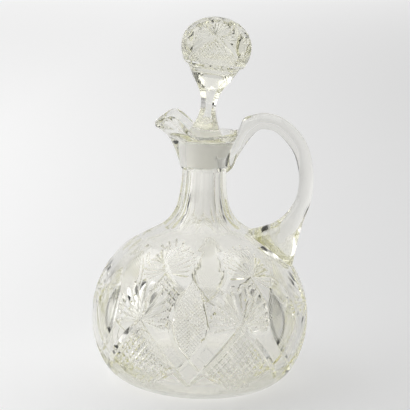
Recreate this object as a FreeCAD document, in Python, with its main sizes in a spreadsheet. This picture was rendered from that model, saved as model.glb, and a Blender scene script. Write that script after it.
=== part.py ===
# A cut-crystal decanter: a blown jug with a drawn lip and an applied handle, and its ground stopper.
# Millimetres, +Z up. The origin is the centre of the base. The handle points to +X and the lip to -X.
import FreeCAD, Part
import math
import os
from types import SimpleNamespace

import Sketcher

V = FreeCAD.Vector
UP = V(0, 0, 1)

# Shape constants that no other size depends on.
LIP_TAPER = 0.15
MOUTH_BEND = 1.8
LIP_ROLL = 2.5
LIP_SECTIONS = 18
CHANNEL_SECTIONS = 9
SKIN_POINTS = 16
SEAT_RELIEF = 1.0
SEAT_DROP = 0.3
HANDLE_SINK = 2.0
PAD_SINK = 5.77
FLUTE_OVERCUT = 0.35
FLUTE_HEAD_RISE = 25.0
MITRE_RISE = 6.0
MITRE_LIFT = 0.9
LENS_TAIL = 1.3
STAR_DEPTH = 1.6
FLARE_ANGLE = 31.5
FLARE_ARC = 20.0
FLARE_RISE = 2.0
BELT_STEP = 2.6
STEM_WHEEL = 28.0
KNOB_MOTIFS = 4
KNOB_STAR_RISE = 7.0
KNOB_MITRE_DEPTH = 1.6

SIZES = {
    # turned body, outside
    "belly_radius": 77.0,
    "belly_height": 46.0,
    "belly_arc": 67.6,
    "foot_arc": 28.0,
    "shoulder_turn": 61.66,
    "throat_arc": 27.0,
    "neck_arc": 100.0,
    "neck_radius": 16.4,
    "neck_flare": 44.0,
    "neck_straight": 0.5,
    # hollow
    "belly_wall": 6.0,
    "bottom_wall": 9.0,
    "cavity_foot_arc": 24.0,
    "cavity_throat_arc": 22.0,
    "bore_radius": 9.0,
    # mouth and lip
    "rim_flare": 6.2,
    "rim_rise": 28.4,
    "rim_wall": 4.2,
    "lip_reach": 36.5,
    "lip_rise": 6.1,
    "crest_rise": 13.6,
    "crest_reach": 24.0,
    "lip_wall": 3.4,
    "lip_spread": 38.0,
    # handle
    "handle_reach": 71.4,
    "handle_rise": 10.6,
    "handle_thick": 11.0,
    "pad_height": 97.0,
    "pad_width": 22.0,
    # cuts
    "flute_count": 9,
    "flute_turn": 12.5,
    "flute_rise": 3.0,
    "flute_end": 103.0,
    "motif_step": 55.0,
    "mitre_depth": 2.0,
    "mitre_half_angle": 52.0,
    "lens_rise": 16.0,
    "lens_half_height": 26.0,
    "lens_half_width": 9.5,
    "star_rise": 14.0,
    "diamond_bottom": 16.0,
    # stopper, along its own axis
    "plug_length": 20.7,
    "plug_bottom_radius": 9.3,
    "plug_top_radius": 13.8,
    "plug_sink": 2.9,
    "seat_clearance": 0.15,
    "seat_rise": 3.0,
    "stem_radius": 6.5,
    "stem_rise": 22.1,
    "stem_sides": 6,
    "belt_radius": 18.4,
    "belt_rise": 28.4,
    "knob_radius": 24.4,
    "knob_rise": 14.0,
    "crown_rise": 20.0,
    "lean": 5.3,
    "lean_rise": 8.6,
}


def make_sheet(doc):
    """The driving sizes, one named cell each."""
    sheet = doc.addObject("Spreadsheet::Sheet", "Sizes")
    for row, (name, value) in enumerate(SIZES.items(), start=1):
        sheet.set("A%d" % row, name)
        sheet.set("B%d" % row, str(value))
        sheet.setAlias("B%d" % row, name)
    doc.recompute()
    return sheet


# Places that several cells of the sketches share.
SHOULDER_CELL = "Sizes.belly_height + Sizes.belly_arc * sin(Sizes.shoulder_turn)"
BEND_CELL = SHOULDER_CELL + " + Sizes.neck_flare"


def read_sizes(sheet):
    """The driving sizes, and the places that stack up from them."""
    sizes = SimpleNamespace(**{name: getattr(sheet, name) for name in SIZES})
    sizes.shoulder_height = sizes.belly_height + sizes.belly_arc * math.sin(math.radians(sizes.shoulder_turn))
    sizes.bend_height = sizes.shoulder_height + sizes.neck_flare
    sizes.neck_height = sizes.bend_height + sizes.neck_straight
    sizes.rim_radius = sizes.neck_radius + sizes.rim_flare
    sizes.rim_height = sizes.neck_height + sizes.rim_rise
    sizes.lip_height = sizes.rim_height + sizes.lip_rise
    sizes.crest_height = sizes.rim_height + sizes.crest_rise
    sizes.handle_height = sizes.rim_height + sizes.handle_rise
    sizes.flute_top = sizes.neck_height + sizes.flute_rise
    sizes.lens_middle = sizes.belly_height + sizes.lens_rise
    sizes.lens_top = sizes.lens_middle + sizes.lens_half_height
    sizes.star_height = sizes.belly_height + sizes.star_rise
    sizes.plug_top = sizes.rim_height - sizes.plug_sink
    sizes.stem_height = sizes.plug_top + sizes.stem_rise
    sizes.belt_height = sizes.stem_height + sizes.belt_rise
    sizes.knob_middle = sizes.belt_height + sizes.knob_rise
    sizes.stopper_top = sizes.knob_middle + sizes.crown_rise
    sizes.lean_height = sizes.rim_height + sizes.lean_rise
    return sizes


# ---------------------------------------------------------------- shared helpers

def around(angle, radius, height):
    """A point at an angle in degrees from -Y towards +X."""
    turn = math.radians(angle)
    return V(radius * math.sin(turn), -radius * math.cos(turn), height)


def feature(doc, name, shape):
    """A document object that holds a shape made with Part's own functions."""
    item = doc.addObject("Part::Feature", name)
    item.Shape = shape
    return item


def bound(doc, kind, name, **cells):
    """A Part primitive whose sizes follow the sheet."""
    item = doc.addObject(kind, name)
    for size, cell in cells.items():
        item.setExpression(size, cell)
    return item


def joined(doc, name, pieces):
    fuse = doc.addObject("Part::MultiFuse", name)
    fuse.Shapes = pieces
    fuse.Refine = False
    return fuse


def cut(doc, name, base, tool):
    item = doc.addObject("Part::Cut", name)
    item.Base = base
    item.Tool = tool
    item.Refine = False
    return item


def closed_curve(points):
    """A smooth closed wire through points."""
    curve = Part.BSplineCurve()
    curve.interpolate(Points=points, PeriodicFlag=True)
    return Part.Wire(curve.toShape())


def ellipse_points(centre, across, side, thick, width):
    """Points round an ellipse whose half axes lie along two directions."""
    points = []
    for step in range(SKIN_POINTS):
        turn = 2 * math.pi * step / SKIN_POINTS
        points.append(centre + across * (thick / 2 * math.cos(turn)) + side * (width / 2 * math.sin(turn)))
    return points


def skinned(rings):
    """A solid whose smooth skin follows rings of control points, with a flat face at each end."""
    degree = 3
    rows = len(rings)
    swell = 3 / (2 + math.cos(2 * math.pi / SKIN_POINTS))
    poles = []
    for ring in rings:
        centre = sum(ring, V(0, 0, 0)) * (1 / SKIN_POINTS)
        poles.append([centre + (point - centre) * swell for point in ring])
    skin = Part.BSplineSurface()
    skin.buildFromPolesMultsKnots(
        poles,
        [degree + 1] + [1] * (rows - degree - 1) + [degree + 1],
        [1] * (SKIN_POINTS + 1),
        list(range(rows - degree + 1)),
        list(range(SKIN_POINTS + 1)),
        False, True, degree, degree)
    ends = [Part.Face(Part.Wire([skin.uIso(at).toShape()])) for at in (0, rows - degree)]
    return Part.Solid(Part.makeShell([skin.toShape()] + ends))


def blend(value, low, high):
    """A smooth step from 0 at low to 1 at high."""
    share = min(max((value - low) / (high - low), 0.0), 1.0)
    return share * share * (3 - 2 * share)


def between(rows, steps):
    """Rows of numbers with a smooth (Catmull-Rom) run of steps from each row to the next."""
    padded = [rows[0]] + list(rows) + [rows[-1]]
    out = []
    for before, first, last, after in zip(padded, padded[1:], padded[2:], padded[3:]):
        for step in range(steps):
            at = step / steps
            weights = (-at + 2 * at ** 2 - at ** 3, 2 - 5 * at ** 2 + 3 * at ** 3,
                       at + 4 * at ** 2 - 3 * at ** 3, at ** 3 - at ** 2)
            out.append([0.5 * sum(weight * value for weight, value in zip(weights, values))
                        for values in zip(before, first, last, after)])
    return out + [list(rows[-1])]


# ---------------------------------------------------------------- turned outlines

def outline_corners(belly_radius, belly_height, belly_arc, foot_arc, floor, shoulder, throat_arc, neck_arc,
                    neck, bend_height, top):
    """Centres and joints of the tangent arcs of a turned outline: x is the radius, y the height."""
    belly = V(belly_radius - belly_arc, belly_height, 0)
    drop = belly_height - floor - foot_arc
    foot = V(belly.x + math.sqrt((belly_arc - foot_arc) ** 2 - drop ** 2), floor + foot_arc, 0)
    foot_out = (foot - belly).normalize()

    rise = shoulder - belly_height
    out = V(math.sqrt(belly_arc ** 2 - rise ** 2), rise, 0).normalize()
    shoulder_joint = belly + out * belly_arc
    along = V(-out.y, out.x, 0)

    bend = V(neck + neck_arc, bend_height, 0)
    gap = neck_arc - throat_arc
    start = shoulder_joint + out * throat_arc - bend
    half = start.dot(along)
    root = math.sqrt(half ** 2 - start.dot(start) + gap ** 2)
    slope = -half - root
    if slope < 0:
        slope = -half + root
    throat = shoulder_joint + along * slope + out * throat_arc
    return {
        "axis_floor": V(0, floor, 0),
        "foot_start": V(foot.x, floor, 0),
        "foot": foot,
        "foot_joint": foot + foot_out * foot_arc,
        "belly": belly,
        "widest": V(belly_radius, belly_height, 0),
        "shoulder_joint": shoulder_joint,
        "slope_joint": throat - out * throat_arc,
        "throat": throat,
        "throat_joint": bend + (throat - bend) * (neck_arc / gap),
        "bend": bend,
        "neck_start": V(neck, bend_height, 0),
        "neck_end": V(neck, top, 0),
        "axis_top": V(0, top, 0),
    }


def arc_between(centre, first, last):
    """The arc about a centre from one point anticlockwise to another."""
    angles = [math.atan2(point.y - centre.y, point.x - centre.x) for point in (first, last)]
    return Part.ArcOfCircle(Part.Circle(centre, UP, (first - centre).Length), *angles)


def turned_sketch(doc, name, cells):
    """A half outline in the XZ plane, each of whose sizes is bound to a cell or a formula of cells."""
    sketch = doc.addObject("Sketcher::SketchObject", name)
    sketch.Placement = FreeCAD.Placement(V(0, 0, 0), FreeCAD.Rotation(V(1, 0, 0), 90))
    values = {key: float(sketch.evalExpression(cell)) for key, cell in cells.items()}
    at = outline_corners(**values)
    pieces = [
        Part.LineSegment(at["axis_floor"], at["foot_start"]),
        arc_between(at["foot"], at["foot_start"], at["foot_joint"]),
        arc_between(at["belly"], at["foot_joint"], at["shoulder_joint"]),
        Part.LineSegment(at["shoulder_joint"], at["slope_joint"]),
        arc_between(at["throat"], at["throat_joint"], at["slope_joint"]),
        arc_between(at["bend"], at["neck_start"], at["throat_joint"]),
        Part.LineSegment(at["neck_start"], at["neck_end"]),
        Part.LineSegment(at["neck_end"], at["axis_top"]),
        Part.LineSegment(at["axis_top"], at["axis_floor"]),
    ]
    floor, foot, belly, slope, throat, bend, neck, lid, axis = sketch.addGeometry(pieces, False)
    widest = sketch.addGeometry(Part.Point(at["widest"]), True)
    start, end, centre = 1, 2, 3
    rule = Sketcher.Constraint
    sketch.addConstraint([
        rule("PointOnObject", floor, start, -2),
        rule("Horizontal", floor),
        rule("Vertical", axis),
        rule("Horizontal", lid),
        rule("Coincident", axis, end, floor, start),
        rule("Coincident", lid, end, axis, start),
        rule("Tangent", floor, end, foot, start),
        rule("Tangent", foot, end, belly, start),
        rule("Tangent", belly, end, slope, start),
        rule("Tangent", slope, end, throat, end),
        rule("Tangent", throat, start, bend, end),
        rule("Tangent", bend, start, neck, start),
        rule("Vertical", neck),
        rule("Coincident", neck, end, lid, start),
        rule("PointOnObject", widest, start, belly),
        rule("Horizontal", widest, start, belly, centre),
    ])
    sizes = {
        "floor": ("DistanceY", -1, 1, floor, start),
        "foot_arc": ("Radius", foot),
        "belly_arc": ("Radius", belly),
        "belly_radius": ("DistanceX", -1, 1, widest, start),
        "belly_height": ("DistanceY", -1, 1, widest, start),
        "shoulder": ("DistanceY", -1, 1, belly, end),
        "throat_arc": ("Radius", throat),
        "neck_arc": ("Radius", bend),
        "neck": ("DistanceX", -1, 1, bend, start),
        "bend_height": ("DistanceY", -1, 1, bend, start),
        "top": ("DistanceY", -1, 1, neck, end),
    }
    for key, targets in sizes.items():
        index = sketch.addConstraint(rule(*targets, values[key]))
        sketch.renameConstraint(index, key)
        sketch.setExpression("Constraints." + key, cells[key])
    return sketch


def turned(doc, name, cells):
    """The solid of a turned outline."""
    spin = doc.addObject("Part::Revolution", name)
    spin.Source = turned_sketch(doc, name + "_outline", cells)
    spin.Axis = UP
    spin.Base = V(0, 0, 0)
    spin.Angle = 360
    spin.Solid = True
    return spin


# ---------------------------------------------------------------- mouth and pouring lip

def mouth_radius(sizes, height):
    """Radius of the round part of the mouth, which opens from the neck to the rim."""
    if height > sizes.rim_height:
        return sizes.rim_radius + LIP_TAPER * (height - sizes.rim_height)
    share = max(height - sizes.neck_height, 0.0) / (sizes.rim_height - sizes.neck_height)
    return sizes.neck_radius + (sizes.rim_radius - sizes.neck_radius) * share ** MOUTH_BEND


def spout_share(turn, spread):
    """How much of the lip's reach a direction has, by its angle from -X."""
    return math.exp(-(turn / spread) ** 2)


def lip_section(sizes, height, centre_radius, tip_radius, steps=36):
    """A level section of the mouth: a circle drawn out towards -X."""
    points = []
    for step in range(steps):
        turn = 360.0 * step / steps
        off = min(turn, 360.0 - turn)
        radius = centre_radius + (tip_radius - centre_radius) * spout_share(off, sizes.lip_spread)
        points.append(around(turn - 90.0, radius, height))
    return closed_curve(points)


def outer_lip(sizes):
    """The outside of the mouth, from the neck to above the crests of the lip."""
    sections = []
    full = sizes.lip_height - LIP_ROLL
    reach = sizes.lip_reach - mouth_radius(sizes, sizes.lip_height)
    above = sizes.crest_height + LIP_ROLL
    for step in range(LIP_SECTIONS + 1):
        height = sizes.neck_height + (above - sizes.neck_height) * step / LIP_SECTIONS
        share = min((height - sizes.neck_height) / (full - sizes.neck_height), 1.0)
        drawn = 0.45 * share + 0.55 * share ** 9
        base = mouth_radius(sizes, height)
        sections.append(lip_section(sizes, height, base, base + reach * drawn))
    return Part.makeLoft(sections, True)


def inner_lip(sizes):
    """The open channel of the mouth, from the top of the ground seat to above the crests."""
    seat = sizes.plug_top_radius + sizes.seat_clearance
    low = sizes.plug_top - SEAT_RELIEF
    rim = sizes.rim_radius - sizes.rim_wall
    full = sizes.lip_reach - sizes.lip_wall
    above = sizes.crest_height + 2 * LIP_ROLL
    sections = []
    for step in range(CHANNEL_SECTIONS + 1):
        height = low + (above - low) * step / CHANNEL_SECTIONS
        opened = blend(height, low, sizes.rim_height + LIP_ROLL)
        drawn = blend(height, low, sizes.crest_height)
        centre = seat + (rim - seat) * opened
        sections.append(lip_section(sizes, height, centre, centre + (full - rim) * drawn))
    return Part.makeLoft(sections, True)


def above_rim(sizes):
    """Everything above the rim: it dips at the sides, rises to two crests and falls to the tip of the lip."""
    rise = sizes.crest_height - sizes.rim_height
    outline = (
        (-sizes.lip_reach - 4.0, sizes.lip_height - 3.5),
        (-sizes.lip_reach, sizes.lip_height),
        (-(sizes.lip_reach + sizes.crest_reach) / 2, (sizes.lip_height + sizes.crest_height) / 2 + 1.2),
        (-sizes.crest_reach, sizes.crest_height),
        (-sizes.crest_reach * 2 / 3, sizes.rim_height + 0.6 * rise),
        (-sizes.crest_reach / 3, sizes.rim_height + 0.12 * rise),
        (0.0, sizes.rim_height),
        (sizes.rim_radius, sizes.rim_height + 2.0),
        (sizes.rim_radius + 12.0, sizes.rim_height + 2.5),
    )
    half = 2 * sizes.lip_reach
    points = [V(x, -half, height) for x, height in outline]
    curve = Part.BSplineCurve()
    curve.interpolate(Points=points)
    top = sizes.crest_height + 6 * LIP_ROLL
    frame = [points[-1], V(points[-1].x, -half, top), V(points[0].x, -half, top), points[0]]
    face = Part.Face(Part.Wire([curve.toShape()] + Part.makePolygon(frame).Edges))
    return face.extrude(V(0, 2 * half, 0))


# ---------------------------------------------------------------- handle

def handle(sizes):
    """A drawn rod from the mouth out and down to a pad pressed on the shoulder, in the XZ plane."""
    thick = sizes.handle_thick
    reach = sizes.handle_reach
    top = sizes.handle_height
    pad = sizes.pad_width
    root = sizes.neck_radius - HANDLE_SINK
    foot = belly_outline(sizes, sizes.pad_height) - PAD_SINK
    out = reach - foot
    rise = top - sizes.pad_height
    low = sizes.pad_height
    stations = (
        # x, height, direction of the rod in degrees from +X, thickness in the plane, width across it
        (root, top - 24.0, -6, 3.0 * thick, 1.1 * thick),
        (root + 6.0, top - 21.0, -6, 2.55 * thick, 1.12 * thick),
        (root + 8.5, top - 15.4, -2, 2.07 * thick, 1.15 * thick),
        (root + 12.6, top - 8.0, 6, 1.7 * thick, 1.15 * thick),
        (root + 17.7, top - 3.7, 3, 1.36 * thick, 1.12 * thick),
        (root + 22.1, top - 0.9, 1, 1.1 * thick, 1.1 * thick),
        (root + 27.0, top - 0.2, -3, 1.04 * thick, 1.1 * thick),
        (foot + 0.107 * out, low + 0.975 * rise, -28, 1.02 * thick, 1.08 * thick),
        (foot + 0.513 * out, low + 0.8924 * rise, -48, 1.04 * thick, 1.04 * thick),
        (foot + 0.82 * out, low + 0.7772 * rise, -62, thick, thick),
        (foot + 0.983 * out, low + 0.6196 * rise, -80, 0.94 * thick, 0.98 * thick),
        (foot + 0.991 * out, low + 0.5 * rise, -92, 0.94 * thick, 0.98 * thick),
        (foot + 0.915 * out, low + 0.386 * rise, -105, thick, 1.02 * thick),
        (foot + 0.718 * out, low + 0.272 * rise, -114, 1.22 * thick, 1.15 * thick),
        (foot + 0.479 * out, low + 0.163 * rise, -121, 1.85 * thick, 0.72 * pad),
        (foot + 0.256 * out, low + 0.0815 * rise, -127, 2.75 * thick, 0.92 * pad),
        (foot, low, -131, 3.8 * thick, pad),
    )
    side = V(0, 1, 0)
    rings = []
    for x, height, degrees, in_plane, width in between(stations, 3):
        turn = math.radians(degrees)
        across = V(-math.sin(turn), 0, math.cos(turn))
        rings.append(ellipse_points(V(x, 0, height), across, side, in_plane, width))
    return skinned(rings)


# ---------------------------------------------------------------- cuts in the glass

def flute(sizes, number):
    """The tool of one flat panel down the neck: it meets the shoulder in a rounded end."""
    corners = outline_corners(sizes.belly_radius, sizes.belly_height, sizes.belly_arc, sizes.foot_arc, 0.0,
                              sizes.shoulder_height, sizes.throat_arc, sizes.neck_arc, sizes.neck_radius,
                              sizes.bend_height, sizes.neck_height)
    half_turn = math.pi / sizes.flute_count
    depth = sizes.neck_radius * (1 - math.cos(half_turn)) + FLUTE_OVERCUT
    inward = V(-depth, 0, 0)
    neck_top = corners["neck_end"] + inward
    throat = corners["throat_joint"] + inward
    slope = corners["slope_joint"] + inward
    centre = corners["throat"]
    half_way = (corners["throat_joint"] - centre + corners["slope_joint"] - centre).normalize()
    middle = centre + inward + half_way * sizes.throat_arc
    end = V(belly_outline(sizes, sizes.flute_end), sizes.flute_end, 0)
    outside = V(sizes.belly_radius, sizes.flute_end, 0)
    head = V(neck_top.x, sizes.flute_top, 0)
    over = V(sizes.belly_radius, sizes.flute_top + FLUTE_HEAD_RISE, 0)
    edges = [
        Part.LineSegment(head, throat).toShape(),
        Part.Arc(throat, middle, slope).toShape(),
        Part.LineSegment(slope, end).toShape(),
        Part.LineSegment(end, outside).toShape(),
        Part.LineSegment(outside, over).toShape(),
        Part.LineSegment(over, head).toShape(),
    ]
    face = Part.Face(Part.Wire(edges))
    face.rotate(V(0, 0, 0), V(1, 0, 0), 90)
    width = 2 * sizes.neck_radius
    face.translate(V(0, width, 0))
    tool = face.extrude(V(0, -2 * width, 0))
    tool.rotate(V(0, 0, 0), UP, sizes.flute_turn - 90.0 + 360.0 * number / sizes.flute_count)
    return tool


def belly_outline(sizes, height):
    """Outside radius of the belly at a height."""
    run = math.sqrt(sizes.belly_arc ** 2 - (height - sizes.belly_height) ** 2)
    return sizes.belly_radius - sizes.belly_arc + run


def mitre(start, middle, end, half_angle, rise):
    """The tool of one V groove whose bottom runs along the arc through three points."""
    arc = Part.Arc(start, middle, end).toShape()
    circle = arc.Curve
    out = (start - circle.Center).normalize()
    spread = circle.Axis * (rise * math.tan(math.radians(half_angle)))
    lifted = start + out * rise
    face = Part.Face(Part.makePolygon([start, lifted + spread, lifted - spread, start]))
    return face.revolve(circle.Center, circle.Axis, math.degrees(arc.LastParameter - arc.FirstParameter))


def lens_mitres(sizes, angle):
    """The two curved grooves that frame one pointed oval and cross below it."""
    tools = []
    tail = sizes.lens_middle - (sizes.lens_top - sizes.lens_middle) * LENS_TAIL
    deep = belly_outline(sizes, sizes.lens_middle) - sizes.mitre_depth
    for side in (-1, 1):
        tools.append(mitre(
            around(angle - side * 0.6 * sizes.lens_half_width, belly_outline(sizes, tail) + MITRE_LIFT, tail),
            around(angle + side * sizes.lens_half_width, deep, sizes.lens_middle),
            around(angle, belly_outline(sizes, sizes.lens_top) + MITRE_LIFT, sizes.lens_top),
            sizes.mitre_half_angle, MITRE_RISE))
    return tools


def star_mitres(sizes, angle, left, right):
    """The two long grooves that run down from a star to the diamonds on its two sides."""
    tools = []
    middle_height = (sizes.star_height + sizes.diamond_bottom) / 2
    deep = belly_outline(sizes, middle_height) - sizes.mitre_depth
    for target in (left, right):
        tools.append(mitre(
            around(target, belly_outline(sizes, sizes.diamond_bottom), sizes.diamond_bottom),
            around((angle + target) / 2, deep, middle_height),
            around(angle, belly_outline(sizes, sizes.star_height) - STAR_DEPTH, sizes.star_height),
            sizes.mitre_half_angle, MITRE_RISE))
    return tools


# ---------------------------------------------------------------- stopper

def oval(centre, across, up):
    """An ellipse with one half axis along x and one along y, whichever is the longer."""
    if across >= up:
        return Part.Ellipse(centre + V(across, 0, 0), centre + V(0, up, 0), centre)
    return Part.Ellipse(centre - V(0, up, 0), centre + V(across, 0, 0), centre)


def part_of(curve, first, last):
    """The anticlockwise stretch of a closed curve between two of its points."""
    start, end = curve.parameter(first), curve.parameter(last)
    if end < start:
        end += 2 * math.pi
    return curve.toShape(start, end)


def stopper_outline(sizes):
    """The half outline of the stopper about its own axis: x is the radius, y the height."""
    plug_foot = sizes.plug_top - sizes.plug_length
    waist = V(sizes.stem_radius, sizes.stem_height, 0)
    collar = V(sizes.plug_top_radius, sizes.plug_top, 0)
    run, fall = collar.x - waist.x, waist.y - collar.y
    collar_arc = (run ** 2 + fall ** 2) / (2 * run)
    half = 0.5 * math.asin(fall / collar_arc)
    collar_middle = V(waist.x + collar_arc * (1 - math.cos(half)), waist.y - collar_arc * math.sin(half), 0)

    belt = V(sizes.belt_radius, sizes.belt_height, 0)
    flare = math.radians(FLARE_ANGLE)
    flare_start = V(waist.x + FLARE_ARC * (1 - math.cos(flare)), waist.y + FLARE_RISE
                    + FLARE_ARC * math.sin(flare), 0)
    flare_middle = V(waist.x + FLARE_ARC * (1 - math.cos(flare / 2)), waist.y + FLARE_RISE
                     + FLARE_ARC * math.sin(flare / 2), 0)
    stem_top = V(waist.x, waist.y + FLARE_RISE, 0)

    middle = V(0, sizes.knob_middle, 0)
    widest = V(sizes.knob_radius, sizes.knob_middle, 0)
    crown = V(0, sizes.stopper_top, 0)
    belt_edge = V(belt.x + BELT_STEP, belt.y + BELT_STEP / 2, 0)
    lower_half = (middle.y - belt_edge.y) / math.sqrt(1 - (belt_edge.x / widest.x) ** 2)
    lower = oval(middle, sizes.knob_radius, lower_half)
    upper = oval(middle, sizes.knob_radius, sizes.stopper_top - sizes.knob_middle)
    edges = [
        Part.LineSegment(V(0, plug_foot, 0), V(sizes.plug_bottom_radius, plug_foot, 0)).toShape(),
        Part.LineSegment(V(sizes.plug_bottom_radius, plug_foot, 0), collar).toShape(),
        Part.Arc(collar, collar_middle, waist).toShape(),
        Part.LineSegment(waist, stem_top).toShape(),
        Part.Arc(stem_top, flare_middle, flare_start).toShape(),
        Part.LineSegment(flare_start, belt).toShape(),
        Part.LineSegment(belt, belt_edge).toShape(),
        part_of(lower, belt_edge, widest),
        part_of(upper, widest, crown),
        Part.LineSegment(crown, V(0, plug_foot, 0)).toShape(),
    ]
    return Part.Face(Part.Wire(edges))


def knob_point(sizes, angle, height, depth=0.0):
    """A point of the knob's upper or lower half, sunk by a depth towards its axis."""
    half = sizes.stopper_top - sizes.knob_middle
    share = (height - sizes.knob_middle) / half
    return around(angle, sizes.knob_radius * math.sqrt(max(1 - share ** 2, 0.0)) - depth, height)


def knob_mitres(sizes):
    """Two long grooves under each star of the knob."""
    tools = []
    star = sizes.knob_middle + KNOB_STAR_RISE
    low = sizes.belt_height + BELT_STEP
    for number in range(KNOB_MOTIFS):
        angle = 360.0 * number / KNOB_MOTIFS
        for side in (-1, 1):
            span = side * 180.0 / KNOB_MOTIFS
            tools.append(mitre(
                knob_point(sizes, angle, star, 0.5),
                knob_point(sizes, angle + span * 0.62, (star + low) / 2 + 1.5, KNOB_MITRE_DEPTH),
                knob_point(sizes, angle + span * 0.98, low, 0.0),
                sizes.mitre_half_angle, MITRE_RISE))
    return tools


def stem_panels(sizes):
    """The tools of the flat panels round the stem, each a slice of a large wheel."""
    tools = []
    depth = sizes.stem_radius * (1 - math.cos(math.pi / sizes.stem_sides)) + FLUTE_OVERCUT
    centre = sizes.stem_radius - depth + STEM_WHEEL
    for number in range(int(sizes.stem_sides)):
        turn = 360.0 * (number + 0.5) / sizes.stem_sides
        start = around(turn, centre, sizes.stem_height) + around(turn + 90.0, -STEM_WHEEL, 0)
        tools.append(Part.makeCylinder(STEM_WHEEL, 2 * STEM_WHEEL, start, around(turn + 90.0, 1, 0)))
    return tools


# ---------------------------------------------------------------- the two pieces

def motif_angles(sizes):
    """The angles of the pointed ovals: three about -Y and three about +Y."""
    return [middle + step * sizes.motif_step for middle in (0.0, 180.0) for step in (-1, 0, 1)]


def lean_placement(sizes):
    """The stopper leans towards the handle about a point of the neck's axis."""
    return FreeCAD.Placement(V(0, 0, 0), FreeCAD.Rotation(V(0, 1, 0), sizes.lean), V(0, 0, sizes.lean_height))


def make_jug(doc, sizes):
    blank_turned = turned(doc, "turned_blank", {
        "belly_radius": "Sizes.belly_radius",
        "belly_height": "Sizes.belly_height",
        "belly_arc": "Sizes.belly_arc",
        "foot_arc": "Sizes.foot_arc",
        "floor": "0 * Sizes.foot_arc",
        "shoulder": SHOULDER_CELL,
        "throat_arc": "Sizes.throat_arc",
        "neck_arc": "Sizes.neck_arc",
        "neck": "Sizes.neck_radius",
        "bend_height": BEND_CELL,
        "top": BEND_CELL + " + Sizes.neck_straight",
    })
    cavity = turned(doc, "cavity", {
        "belly_radius": "Sizes.belly_radius - Sizes.belly_wall",
        "belly_height": "Sizes.belly_height",
        "belly_arc": "Sizes.belly_arc - Sizes.belly_wall",
        "foot_arc": "Sizes.cavity_foot_arc",
        "floor": "Sizes.bottom_wall",
        "shoulder": "Sizes.belly_height + (Sizes.belly_arc - Sizes.belly_wall) * sin(Sizes.shoulder_turn)",
        "throat_arc": "Sizes.cavity_throat_arc",
        "neck_arc": "Sizes.neck_arc",
        "neck": "Sizes.bore_radius",
        "bend_height": BEND_CELL,
        "top": BEND_CELL + " + Sizes.neck_straight",
    })
    doc.recompute()
    mouth = cut(doc, "mouth", feature(doc, "mouth_form", outer_lip(sizes)),
                feature(doc, "above_rim", above_rim(sizes)))
    blank = joined(doc, "blank", [blank_turned, mouth])

    tools = [flute(sizes, number) for number in range(int(sizes.flute_count))]
    ovals = sorted(angle % 360.0 for angle in motif_angles(sizes))
    for number, left in enumerate(ovals):
        right = ovals[(number + 1) % len(ovals)]
        right += 360.0 if right < left else 0.0
        tools += lens_mitres(sizes, left)
        tools += star_mitres(sizes, (left + right) / 2, left, right)
    cuts = feature(doc, "cuts", Part.Compound(tools))
    cut_blank = cut(doc, "cut_blank", blank, cuts)

    whole = joined(doc, "glass", [cut_blank, feature(doc, "handle_form", handle(sizes))])
    bore = bound(doc, "Part::Cylinder", "bore", Radius="Sizes.bore_radius",
                 Height="Sizes.rim_rise - Sizes.plug_sink - Sizes.plug_length + 2")
    bore.setExpression("Placement.Base.z", BEND_CELL + " + Sizes.neck_straight - 1")
    seat = bound(doc, "Part::Cone", "seat",
                 Radius1="Sizes.plug_bottom_radius + Sizes.seat_clearance",
                 Radius2="Sizes.plug_top_radius + Sizes.seat_clearance + Sizes.seat_rise"
                         " * (Sizes.plug_top_radius - Sizes.plug_bottom_radius) / Sizes.plug_length",
                 Height="Sizes.plug_length + Sizes.seat_rise")
    seat_foot = V(0, 0, sizes.plug_top - sizes.plug_length - SEAT_DROP)
    seat.Placement = lean_placement(sizes).multiply(FreeCAD.Placement(seat_foot, FreeCAD.Rotation()))
    hollow = joined(doc, "hollow", [cavity, bore, seat, feature(doc, "channel", inner_lip(sizes))])
    jug = cut(doc, "jug", whole, hollow)
    jug.Label = "jug"
    return jug


def make_stopper(doc, sizes):
    blank = doc.addObject("Part::Revolution", "stopper_blank")
    outline = stopper_outline(sizes)
    outline.rotate(V(0, 0, 0), V(1, 0, 0), 90)
    blank.Source = feature(doc, "stopper_outline", outline)
    blank.Axis = UP
    blank.Angle = 360
    blank.Solid = True
    cuts = feature(doc, "stopper_cuts", Part.Compound(stem_panels(sizes) + knob_mitres(sizes)))
    stopper = cut(doc, "stopper", blank, cuts)
    stopper.Label = "stopper"
    stopper.Placement = lean_placement(sizes)
    return stopper


def check_document(doc):
    """Stops if any object failed to compute."""
    for item in doc.Objects:
        if "Invalid" in item.State or "Error" in item.State:
            raise RuntimeError("%s did not compute: %s" % (item.Name, item.State))


def write_part(item):
    """Writes one checked solid as the STEP file of its node."""
    shape = item.Shape
    if shape.isNull() or not shape.isValid() or len(shape.Solids) != 1:
        raise RuntimeError("%s is not one valid solid" % item.Label)
    os.makedirs("parts", exist_ok=True)
    shape.exportStep(os.path.join("parts", item.Label + ".step"))
    print(item.Label, "volume %.0f mm3" % shape.Volume, "box", shape.BoundBox)


def main():
    doc = FreeCAD.newDocument("Decanter")
    sizes = read_sizes(make_sheet(doc))
    pieces = [make_jug(doc, sizes), make_stopper(doc, sizes)]
    doc.recompute()
    check_document(doc)
    for piece in pieces:
        write_part(piece)


main()
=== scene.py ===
# A cut-crystal decanter with its ground stopper, standing empty on a pale floor in soft light.
# Lengths are in millimetres until a mesh is made, and MM turns them into the frame's unit.
# Angles are in degrees where a size is not given through math.radians.
# The handle points to +X, the lip to -X, and the front is -Y.
import math

import bmesh
import bpy
import numpy as np
from mathutils import Matrix, Vector


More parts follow.
